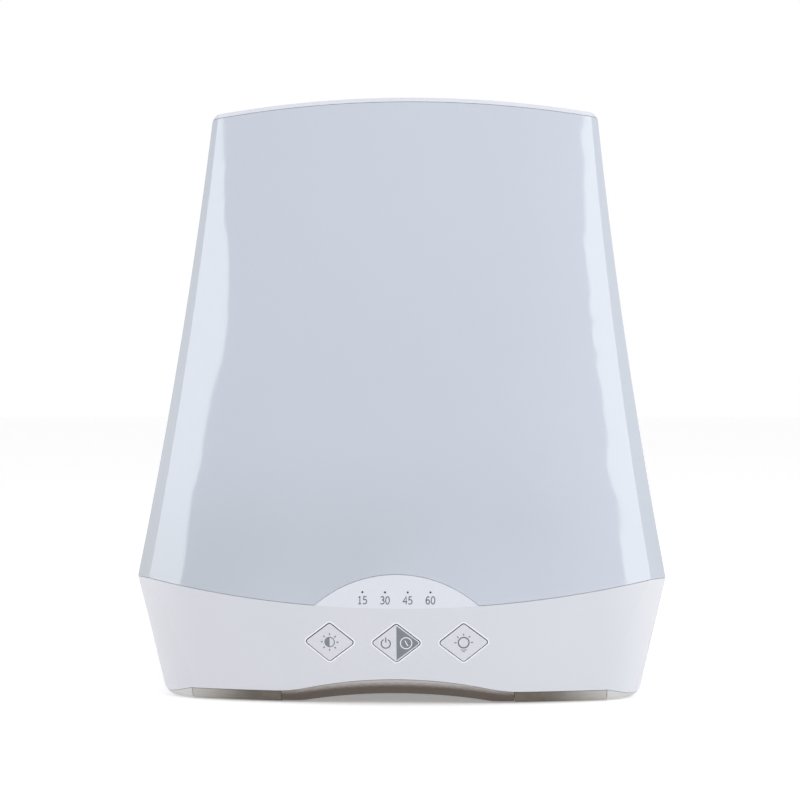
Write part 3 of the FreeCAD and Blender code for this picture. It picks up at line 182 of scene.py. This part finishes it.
# Finishes
GLOSS_PATCHES, GLOSS_SPREAD = 60.0, 0.08
GRAIN_DETAIL = 3.0
TURNING_MARKS, TURNING_SPREAD, TURNING_RELIEF, TURNING_DEPTH = 900.0, 0.2, 2500.0, 0.00001


def plastic(name, colour, roughness, **fixed):
    """Plastic with a little unevenness in its gloss."""
    finish = Finish(name, colour, roughness, **fixed)
    return finish.set("Roughness", roughness + (finish.noise(GLOSS_PATCHES) - 0.5) * GLOSS_SPREAD)


def textured(name, colour, roughness, grain_size, grain_depth, **fixed):
    """Plastic with the fine texture of its mould."""
    finish = plastic(name, colour, roughness, **fixed)
    return finish.grain(finish.noise(1 / grain_size, GRAIN_DETAIL), grain_depth)


def moulded(name, first, second, roughness, grain_size, grain_depth, **fixed):
    """Textured plastic with a little cloudiness in its colour."""
    finish = textured(name, seen(*first), roughness, grain_size, grain_depth, **fixed)
    return finish.set("Base Color", finish.cloudy(seen(*first), seen(*second)))


def metal(name, colour, roughness):
    """Plated metal with fine turning marks."""
    finish = Finish(name, colour, roughness, Metallic=1.0)
    finish.set("Roughness", roughness + (finish.noise(TURNING_MARKS) - 0.5) * TURNING_SPREAD)
    return finish.grain(finish.noise(TURNING_RELIEF), TURNING_DEPTH)


def opal_lens():
    """Glossy opal plastic, with painted shade making it a little darker towards the base."""
    lens = Finish("opal_lens", seen(194, 201, 212), 0.05, Coat_Weight=0.4, Coat_Roughness=0.03)
    height = lens.along("Z")
    # Painted shade: the lens darkens towards the base, standing in for the light falling off lower
    # down.
    painted_shade_low = lens.mix(height.between(0.045, 0.115), seen(181, 188, 198), seen(191, 198, 210))
    tone = lens.mix(height.between(0.1, 0.25), painted_shade_low, seen(194, 201, 213))
    lens.set("Base Color", lens.cloudy(tone, seen(193, 200, 212), 9.0, 0.25, 0.75))
    lens.set("Roughness", 0.04 + lens.noise(40.0) * 0.02)
    return lens.grain(lens.noise(22.0, 1.0), 0.000004)


def white_shell():
    """White housing plastic, with painted light making it paler at both ends of the base and where it
    looks up.
    """
    white = textured("white_shell", seen(204, 206, 214), 0.42, 0.0009, 0.000012, Coat_Weight=0.1)
    facing = white.facing_up()
    # Painted light: the base pales towards both ends, where its front curves round, and pales again on
    # faces that look up.
    ends = white.along("X").size().between(0.08, 0.112)
    middle_tone = white.cloudy(seen(207, 208, 215), seen(205, 207, 215))
    painted_pale_ends = white.mix(ends, middle_tone, seen(219, 220, 226))
    painted_light_top = white.mix(facing.between(-0.1, 0.2), painted_pale_ends, seen(215, 218, 227))
    return white.set("Base Color", white.mix(facing.between(0.5, 0.95), painted_light_top, seen(235, 236, 240)))


def warm_grey_cover():
    """Warm grey plastic, its grey partly standing in for the shade under the base, with painted shade
    making it dark underneath and painted light making it pale towards both ends.
    """
    cover = textured("warm_grey_cover", seen(158, 152, 146), 0.5, 0.0006, 0.00003)
    # Painted shade: faces that look down darken to deep brown; painted light: the band pales towards
    # both ends.
    under = (cover.facing_up() * -1.0).between(0.0, 0.5)
    painted_shade_band = cover.mix(under, seen(186, 182, 179), seen(86, 75, 67))
    ends = cover.along("X").size().between(0.072, 0.088)
    return cover.set("Base Color", cover.mix(ends, painted_shade_band, seen(200, 199, 199)))


def foot_rubber():
    """Dark rubber with a mottled tone, and painted light making it paler towards both ends of the base.
    """
    rubber = textured("foot_rubber", seen(104, 99, 86), 0.55, 0.0004, 0.00004)
    mottled = rubber.cloudy(seen(102, 95, 86), seen(93, 86, 77), 300.0)
    # Painted light: the rubber pales towards both ends of the base, where the shade on it fades out.
    ends = rubber.along("X").size().between(0.058, 0.089)
    return rubber.set("Base Color", rubber.mix(ends, mottled, seen(180, 178, 174)))


def ribbon_grey():
    """Grey ribbon cable with a rib for each wire, one every 1.28 mm."""
    rib_wave, rib_height = 4900.0, 0.00015
    ribbon = plastic("ribbon_grey", seen(150, 152, 156), 0.5)
    ribbon.set("Base Color", ribbon.cloudy(seen(150, 152, 156), seen(140, 142, 146)))
    ribs = (ribbon.along("X") * rib_wave).wave()
    return ribbon.grain(ribs * 0.5 + 0.5, rib_height)


def circuit_board():
    """Green lacquer over copper tracks, one every 7 mm and broken here and there."""
    track_wave, track_height = 900.0, 0.00003
    board = Finish("circuit_board", seen(30, 92, 58), 0.3, Coat_Weight=0.4)
    tracks = (board.along("X") * track_wave).wave() * board.noise(160.0, 0.0).between(0.45, 0.5)
    share = tracks.between(0.5, 0.62)
    board.set("Base Color", board.mix(share, seen(30, 92, 58), seen(46, 122, 78)))
    return board.grain(share, track_height)


FINISHES = [
    opal_lens(), white_shell(), warm_grey_cover(), foot_rubber(), ribbon_grey(), circuit_board(),
    metal("screw_steel", seen(190, 190, 192), 0.35),
    metal("pin_metal", seen(208, 206, 200), 0.2),
    moulded("clear_plastic", (60, 62, 66), (54, 56, 60), 0.15, 0.001, 0.00001, Coat_Weight=0.3),
]
# Plain plastics: name, two colours, roughness, and the size and depth of the texture in metres
for row in (
    ("key_plastic", (208, 209, 216), (206, 207, 215), 0.35, 0.0008, 0.00001),
    ("black_plastic", (38, 38, 40), (30, 30, 32), 0.45, 0.0005, 0.00002),
    ("plug_plastic", (226, 220, 200), (216, 210, 190), 0.45, 0.0006, 0.00002),
    ("plunger_plastic", (60, 60, 62), (50, 50, 52), 0.4, 0.0005, 0.00001),
    ("reflector_white", (240, 240, 238), (235, 235, 233), 0.6, 0.0005, 0.00001),
    ("diffusing_film", (232, 235, 238), (228, 231, 235), 0.7, 0.0003, 0.00001),
    ("wire_red", (176, 40, 34), (162, 34, 30), 0.35, 0.0008, 0.00001),
    ("wire_black", (34, 34, 35), (28, 28, 29), 0.35, 0.0008, 0.00001),
    ("capacitor_sleeve", (40, 44, 62), (34, 38, 54), 0.3, 0.0008, 0.00001),
    ("coil_ferrite", (58, 57, 56), (48, 47, 46), 0.7, 0.0005, 0.00004),
    ("light_source", (236, 214, 120), (230, 206, 108), 0.3, 0.0006, 0.00001),
    ("white_board", (238, 238, 236), (232, 232, 230), 0.35, 0.001, 0.00001),
):
    FINISHES.append(moulded(*row))
FINISH_OF = {finish.name: finish for finish in FINISHES}
for part in frame["record"]["subparts"]:
    surface = NODES[part["node"]].data
    surface.materials.clear()
    surface.materials.append(FINISH_OF[part["material_slot"]].material)


# Prints: thin ink shapes laid on the front, drawn in millimetres across and up the base's front
KEYS = ("brightness", "power_timer", "light")
KEY_ROW = 25.0
KEY_HALF_HEIGHT = 7.9
UNDERCUT = math.radians(8.0)
UP = Vector((0, -math.sin(UNDERCUT), math.cos(UNDERCUT)))
OUTWARD = Vector((0, -math.cos(UNDERCUT), -math.sin(UNDERCUT)))
IN_FRONT = 0.1
INK = 0.00004
CUT_STEP = 0.8


def surface_tree(*names):
    """The surface of some pieces of the lamp, for finding points on it."""
    points, faces = [], []
    for name in names:
        mesh = NODES[name].data
        start = len(points)
        points += [v.co.copy() for v in mesh.vertices]
        faces += [[start + i for i in face.vertices] for face in mesh.polygons]
    return BVHTree.FromPolygons(points, faces)


TREES = {
    "lamp": surface_tree("front_housing", "indicator_light_pipe"),
    **{f"{key}_key": surface_tree(f"key_{key}") for key in KEYS},
}
KEY_AT = {key: (sum(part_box(f"key_{key}")[i].x for i in (0, 1)) / 2 / MM, 0.0) for key in KEYS}
KEY_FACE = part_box("key_power_timer")[0].y + KEY_HALF_HEIGHT * math.sin(UNDERCUT) * MM
BASE_POINT = Vector((0, KEY_FACE, KEY_ROW * MM))


def laid(x, up, body, proud):
    """The point on the surface of a body in front of (x, up), raised by proud."""
    start = BASE_POINT + Vector((x * MM, 0, 0)) + UP * (up * MM) + OUTWARD * IN_FRONT
    hit = TREES[body].ray_cast(start, -OUTWARD)[0]
    return hit + OUTWARD * proud


def shown_piece(name, shape, finish):
    """A piece in the scene from a finished shape."""
    mesh = bpy.data.meshes.new(name)
    shape.to_mesh(mesh)
    shape.free()
    mesh.materials.append(finish.material)
    piece = bpy.data.objects.new(name, mesh)
    bpy.context.scene.collection.objects.link(piece)
    return piece


def print_shape(name, shapes, body, finish, proud=INK):
    """Ink over one or more outlines, as a thin slab that follows the surface under it."""
    ink = bmesh.new()
    for corners in shapes:
        ink.faces.new([ink.verts.new((x, up, 0)) for x, up in corners])
    low = min(x for corners in shapes for x, up in corners)
    high = max(x for corners in shapes for x, up in corners)
    cuts = int((high - low) / CUT_STEP)
    for i in range(1, cuts + 1):
        bmesh.ops.bisect_plane(
            ink, geom=ink.verts[:] + ink.edges[:] + ink.faces[:],
            plane_co=(low + (high - low) * i / (cuts + 1), 0, 0), plane_no=(1, 0, 0),
        )
    bmesh.ops.triangulate(ink, faces=ink.faces[:])
    bmesh.ops.recalc_face_normals(ink, faces=ink.faces[:])
    if sum(face.normal.z for face in ink.faces) < 0:
        bmesh.ops.reverse_faces(ink, faces=ink.faces[:])
    slab = bmesh.new()
    upper, lower = {}, {}
    for point in ink.verts:
        upper[point] = slab.verts.new(laid(point.co.x, point.co.y, body, proud))
        lower[point] = slab.verts.new(laid(point.co.x, point.co.y, body, -proud / 2))
    for face in ink.faces:
        slab.faces.new([upper[point] for point in face.verts])
        slab.faces.new([lower[point] for point in reversed(face.verts)])
    for edge in ink.edges:
        if len(edge.link_faces) == 1:
            a, b = edge.verts
            slab.faces.new([upper[a], upper[b], lower[b], lower[a]])
    bmesh.ops.recalc_face_normals(slab, faces=slab.faces[:])
    ink.free()
    piece = shown_piece(name, slab, finish)
    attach(piece, body)


def key_print(name, shapes, key, finish, proud=INK):
    print_shape(name, shapes, f"{key}_key", finish, proud)


def line(points, width, closed=False):
    """The four-cornered pieces of a line of some width through points."""
    points = [Vector(p) for p in points]
    count = len(points)
    sides = []
    for i, point in enumerate(points):
        before = points[i - 1] if closed or i else point
        after = points[(i + 1) % count] if closed or i < count - 1 else point
        into = (point - before).normalized() if point != before else (after - point).normalized()
        out = (after - point).normalized() if after != point else into
        way = (into + out).normalized()
        across = Vector((-way.y, way.x)) * (width / 2 / max(way.dot(into), 0.5))
        sides.append((point + across, point - across))
    shapes = []
    for i in range(count if closed else count - 1):
        (a, b), (c, d) = sides[i], sides[(i + 1) % count]
        shapes.append([tuple(b), tuple(d), tuple(c), tuple(a)])
    return shapes


def out_from(x, up, radius, degrees):
    """The point at a radius from (x, up), in degrees from the right, anticlockwise."""
    angle = math.radians(degrees)
    return x + radius * math.cos(angle), up + radius * math.sin(angle)


def arc(x, up, radius, start, end, steps=28):
    return [out_from(x, up, radius, start + (end - start) * i / steps) for i in range(steps + 1)]


def ring(x, up, radius, width):
    return line(arc(x, up, radius, 0, 360, 40)[:-1], width, closed=True)


def rays(x, up, reach, count, width):
    """Short strokes round (x, up), an eighth of a turn apart, the first to the right."""
    strokes = []
    for i in range(count):
        strokes += line([out_from(x, up, radius, 45 * i) for radius in reach], width)
    return strokes


# Strokes of the digits, drawn DIGIT_TALL high and DIGIT_STEP apart
DIGIT_TALL, DIGIT_STEP = 1.7, 1.28
DIGITS = {
    "0": [[
        (0.5 + 0.45 * math.sin(math.radians(a)), 0.85 + 0.85 * math.cos(math.radians(a)))
        for a in range(0, 361, 15)
    ]],
    "1": [[(0.2, 1.42), (0.55, 1.68), (0.55, 0.0)], [(0.2, 0.0), (0.88, 0.0)]],
    "3": [
        [(0.12, 1.5), (0.3, 1.66), (0.55, 1.7), (0.8, 1.6), (0.88, 1.32), (0.78, 1.05), (0.45, 0.92)],
        [(0.45, 0.92), (0.82, 0.82), (0.95, 0.5), (0.85, 0.15), (0.5, 0.0), (0.22, 0.04), (0.05, 0.2)],
    ],
    "4": [[(0.78, 0.0), (0.78, 1.7), (0.05, 0.55), (1.02, 0.55)]],
    "5": [[
        (0.88, 1.68), (0.24, 1.68), (0.18, 0.95), (0.5, 1.04), (0.82, 0.92),
        (0.95, 0.55), (0.84, 0.18), (0.5, 0.0), (0.22, 0.03), (0.06, 0.16),
    ]],
    "6": [[
        (0.86, 1.56), (0.6, 1.7), (0.3, 1.55), (0.12, 1.15), (0.08, 0.6), (0.2, 0.15), (0.5, 0.0),
        (0.82, 0.12), (0.94, 0.5), (0.82, 0.88), (0.52, 1.0), (0.22, 0.85), (0.1, 0.6),
    ]],
}


def number(text, x, up, tall, width):
    """Digits in thin strokes, centred on x, standing on up."""
    size = tall / DIGIT_TALL
    step = DIGIT_STEP * size
    left = x - (len(text) - 1) * step / 2 - 0.5 * size
    shapes = []
    for i, digit in enumerate(text):
        for stroke in DIGITS[digit]:
            shapes += line([(px * size + left + i * step, py * size + up) for px, py in stroke], width)
    return shapes


def ink_finish(name, first, second, roughness=0.5):
    return moulded(name, first, second, roughness, 0.0003, 0.000004)


grey_ink = ink_finish("grey_ink", (122, 127, 136), (116, 121, 130))
dark_ink = ink_finish("dark_ink", (96, 98, 106), (88, 90, 98))
white_ink = ink_finish("white_ink", (236, 237, 240), (230, 231, 234))
# White ink for the painted highlights round the keys.
painted_highlight_white = ink_finish("painted_highlight_white", (240, 240, 243), (236, 236, 240), 0.4)

# Timer numerals under the dots
DOT_PITCH = 9.2
NUMERAL_FOOT, NUMERAL_TALL, NUMERAL_STROKE = 15.9, 2.8, 0.38
for i, text in enumerate(("15", "30", "45", "60")):
    digits = number(text, (i - 1.5) * DOT_PITCH, NUMERAL_FOOT, NUMERAL_TALL, NUMERAL_STROKE)
    print_shape(f"numeral_{text}", digits, "lamp", dark_ink)

# A painted highlight in white ink where the edge of the housing round each key catches light, a diamond
# with rounded tips
EDGE_WIDTH, HALF_WIDTH, HALF_HEIGHT, TIP = 0.42, 11.15, 8.72, 1.65
slope = math.degrees(math.atan2(HALF_WIDTH, HALF_HEIGHT))
end_in = HALF_WIDTH - TIP / math.cos(math.radians(slope))
top_in = HALF_HEIGHT - TIP / math.sin(math.radians(slope))
for key, (x, up) in KEY_AT.items():
    round_key = (
        arc(x + end_in, up, TIP, -slope, slope, 8)
        + arc(x, up + top_in, TIP, slope, 180 - slope, 8)
        + arc(x - end_in, up, TIP, 180 - slope, 180 + slope, 8)
        + arc(x, up - top_in, TIP, 180 + slope, 360 - slope, 8)
    )
    edge = line(round_key, EDGE_WIDTH, closed=True)
    print_shape(f"painted_highlight_edge_{key}", edge, "lamp", painted_highlight_white)

# Left key: half-filled sun with eight short rays
x, up = KEY_AT["brightness"]
SUN_DISC, SUN_RING, SUN_STROKE = 1.85, 1.95, 0.38
SUN_REACH, SUN_RAY_STROKE = (2.85, 3.6), 0.42
key_print("sun_half", [arc(x, up, SUN_DISC, 90, 270)], "brightness", grey_ink)
key_print("sun_ring", ring(x, up, SUN_RING, SUN_STROKE), "brightness", grey_ink)
key_print("sun_rays", rays(x, up, SUN_REACH, 8, SUN_RAY_STROKE), "brightness", dark_ink)

# Centre key: power sign on white beside the grey half
x, up = KEY_AT["power_timer"]
WIDE, TALL = 9.35, 7.05
half_corners = [
    (x + 0.05, up - TALL), (x + WIDE * 0.93, up - TALL * 0.07), (x + WIDE * 0.95, up),
    (x + WIDE * 0.93, up + TALL * 0.07), (x + 0.05, up + TALL),
]
key_print("grey_half", [half_corners], "power_timer", grey_ink)
power_x = x - 4.3
POWER_RADIUS, POWER_STROKE = 1.85, 0.42
power_sign = line(arc(power_x, up - 0.25, POWER_RADIUS, 118, 422), POWER_STROKE)
power_sign += line([(power_x, up + 0.2), (power_x, up + 2.3)], POWER_STROKE)
key_print("power_sign", power_sign, "power_timer", dark_ink)

# Right key: lamp sign with five rays over two base lines
x, up = KEY_AT["light"]
BULB_RADIUS, BULB_STROKE = 2.15, 0.46
BULB_REACH, BULB_RAY_STROKE = (2.95, 3.7), 0.4
BASE_LINES, BASE_STROKE = ((1.3, 3.0), (0.6, 3.7)), 0.3
key_print("bulb_ring", ring(x, up, BULB_RADIUS, BULB_STROKE), "light", dark_ink)
key_print("bulb_rays", rays(x, up, BULB_REACH, 5, BULB_RAY_STROKE), "light", dark_ink)
base_lines = []
for half, drop in BASE_LINES:
    base_lines += line([(x - half, up - drop), (x + half, up - drop)], BASE_STROKE)
key_print("bulb_base", base_lines, "light", grey_ink)

# Clock on the grey half of the centre key, in thicker ink that lies over the grey
x, up = KEY_AT["power_timer"]
clock_x = x + 3.95
CLOCK_RADIUS, CLOCK_STROKE = 2.3, 0.36
clock = ring(clock_x, up, CLOCK_RADIUS, CLOCK_STROKE)
clock += line([(x + 3.5, up + 1.1), (clock_x, up), (x + 4.7, up - 1.1)], CLOCK_STROKE)
key_print("clock_sign", clock, "power_timer", white_ink, 2 * INK)

# Studio: pale floor, white surroundings and four glowing cards behind the camera
FLOOR_REACH, FLOOR_DROP, FLOOR_GLOW = 30.0, 0.0002, 0.3
SKY_STRENGTH = 0.645
CARD_PLANE = -1.2


def studio_floor():
    grid = bmesh.new()
    bmesh.ops.create_grid(grid, x_segments=24, y_segments=24, size=FLOOR_REACH)
    finish = Finish(
        "studio_floor", seen(254, 254, 254), 0.9, Emission_Color=WHITE, Emission_Strength=FLOOR_GLOW,
    )
    finish.set("Base Color", finish.mix(finish.noise(3.0), seen(254, 254, 254), seen(255, 255, 255)))
    floor = shown_piece("studio_floor", grid, finish)
    floor.location.z = -FLOOR_DROP


def studio_sky():
    """Plain light from all round, which the camera, gloss and clear pieces see as white."""
    world = bpy.data.worlds.new("studio")
    bpy.context.scene.world = world
    world.use_nodes = True
    sky = Nodes(world.node_tree)
    light = sky.tree.nodes["Background"]
    sky.feed(light.inputs["Color"], WHITE)
    sky.feed(light.inputs["Strength"], SKY_STRENGTH)
    seen_sky = sky.add("ShaderNodeBackground", {}, {"Color": WHITE})
    path = sky.add("ShaderNodeLightPath", {}, {})
    camera_ray, glossy_ray, clear_ray = (
        Value(sky, path.outputs[f"Is {ray} Ray"]) for ray in ("Camera", "Glossy", "Transmission")
    )
    shown = camera_ray.larger(glossy_ray).larger(clear_ray)
    choice = sky.add("ShaderNodeMixShader", {}, {0: shown, 1: light.outputs[0], 2: seen_sky.outputs[0]})
    sky.feed(sky.tree.nodes["World Output"].inputs["Surface"], choice.outputs[0])


def smoothed(points, steps=6):
    """A smooth line through points."""
    held = [points[0], *points, points[-1]]
    line_points = []
    for a, b, c, d in zip(held, held[1:], held[2:], held[3:]):
        for i in range(steps):
            t = i / steps
            line_points.append(tuple(
                q + t / 2 * (r - p + t * (2 * p - 5 * q + 4 * r - s + t * (3 * q - p - 3 * r + s)))
                for p, q, r, s in zip(a, b, c, d)
            ))
    return line_points + [points[-1]]


def card(name, edge, far, strength, fade=None):
    """A glowing card behind the camera, from a shaped edge to a straight one.

    It glows evenly, or fades in across the range of x that fade gives.
    """
    edge = smoothed(edge)
    shape = bmesh.new()
    inner = [shape.verts.new((x, CARD_PLANE, z)) for x, z in edge]
    outer = [shape.verts.new((far, CARD_PLANE, z)) for x, z in edge]
    for i in range(len(edge) - 1):
        shape.faces.new([inner[i], outer[i], outer[i + 1], inner[i + 1]])
    glow = Finish(name, WHITE, 0.9, Emission_Color=WHITE, Emission_Strength=strength)
    if fade:
        share = glow.along("X").between(*fade)
        glow.set("Emission Color", glow.mix(share, (0.2, 0.2, 0.2, 1.0), WHITE))
    item = shown_piece(name, shape, glow)


studio_floor()
studio_sky()
# Inner edges of the cards, x and z in metres: their reflections edge the pale strips in the lens
LEFT_EDGE = [
    (-1.22, 0.45), (-1.13, 0.66), (-1.07, 0.74), (-1.0, 0.82), (-0.94, 0.87),
    (-0.92, 0.94), (-0.99, 1.08), (-1.03, 1.22), (-1.04, 1.4),
]
RIGHT_EDGE = [
    (1.02, 0.45), (0.96, 0.66), (0.90, 0.74), (0.86, 0.81), (0.80, 0.92), (0.79, 1.09), (0.80, 1.4),
]
card("left_card", LEFT_EDGE, -1.75, 3.25)
card("right_card", RIGHT_EDGE, 1.6, 3.4)
card("right_glow", RIGHT_EDGE, 0.2, 0.6, (0.3, 0.95))
card("right_wing", [(1.6, 0.2), (1.6, 1.8)], 3.4, 1.5)

# Camera, nearly level and a little to the right of the lamp's middle, for a picture 800 dots wide
CAMERA_SIDE = math.radians(-2.99)
CAMERA_RISE = math.radians(-0.29)
DISTANCE = 1.1
AIM = Vector((0, 0, 0.126))
SENSOR = 36.0
PICTURE = 800
DOTS_PER_METRE = 2339.8
SHIFT_X, SHIFT_Y = -3.9, -5.8
ahead = Vector((
    math.sin(CAMERA_SIDE) * math.cos(CAMERA_RISE),
    math.cos(CAMERA_SIDE) * math.cos(CAMERA_RISE),
    -math.sin(CAMERA_RISE),
))
right = Vector((math.cos(CAMERA_SIDE), -math.sin(CAMERA_SIDE), 0))
above = right.cross(ahead)
lens_data = bpy.data.cameras.new("camera")
lens_data.lens = SENSOR * DOTS_PER_METRE * DISTANCE / PICTURE
lens_data.shift_x = SHIFT_X / PICTURE
lens_data.shift_y = SHIFT_Y / PICTURE
lens_data.clip_start = 0.01
camera = bpy.data.objects.new("camera", lens_data)
turn = Matrix((right, above, -ahead)).transposed()
camera.matrix_world = Matrix.Translation(AIM - ahead * DISTANCE) @ turn.to_4x4()
bpy.context.scene.collection.objects.link(camera)
bpy.context.scene.camera = camera
bpy.context.scene.view_settings.view_transform = "Standard"
